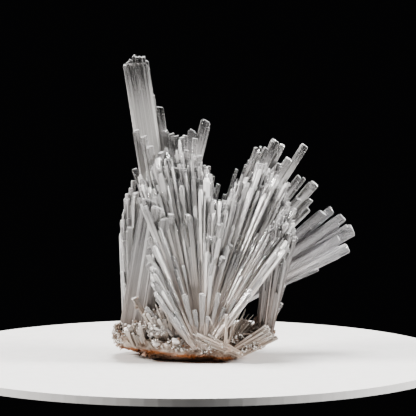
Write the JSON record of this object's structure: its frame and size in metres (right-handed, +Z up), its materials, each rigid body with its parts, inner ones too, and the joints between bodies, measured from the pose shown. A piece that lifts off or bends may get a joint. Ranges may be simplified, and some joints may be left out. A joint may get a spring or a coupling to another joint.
{
  "type": "scolecite crystal cluster",
  "caption": "Spray of slender glassy prisms radiating from a rust-rimmed zeolite crust, with one tall leaning prism; rests on a flat cut foot",
  "frame": {"origin": "on the flat cut foot, straight below the root of the main spray", "axes": "+Z up, +X to the right seen from the front, the front faces -Y"},
  "size_m": [0.0646, 0.0333, 0.0793],
  "materials": {
    "crust": "matte grey-beige zeolite crust with rust-brown rim and pits",
    "crystal": "translucent glassy prisms, milky towards the root, striated along their length",
    "clear_crystal": "clear glassy prisms with a faint cool tint and bright edges"
  },
  "bodies": {
    "root": {"matrix_crust": "crust", "tower_spray": "crystal", "fan_spray": "crystal", "side_prisms": "clear_crystal", "corner_sheaf": "crystal", "left_group": "crystal"}
  },
  "joints": []
}
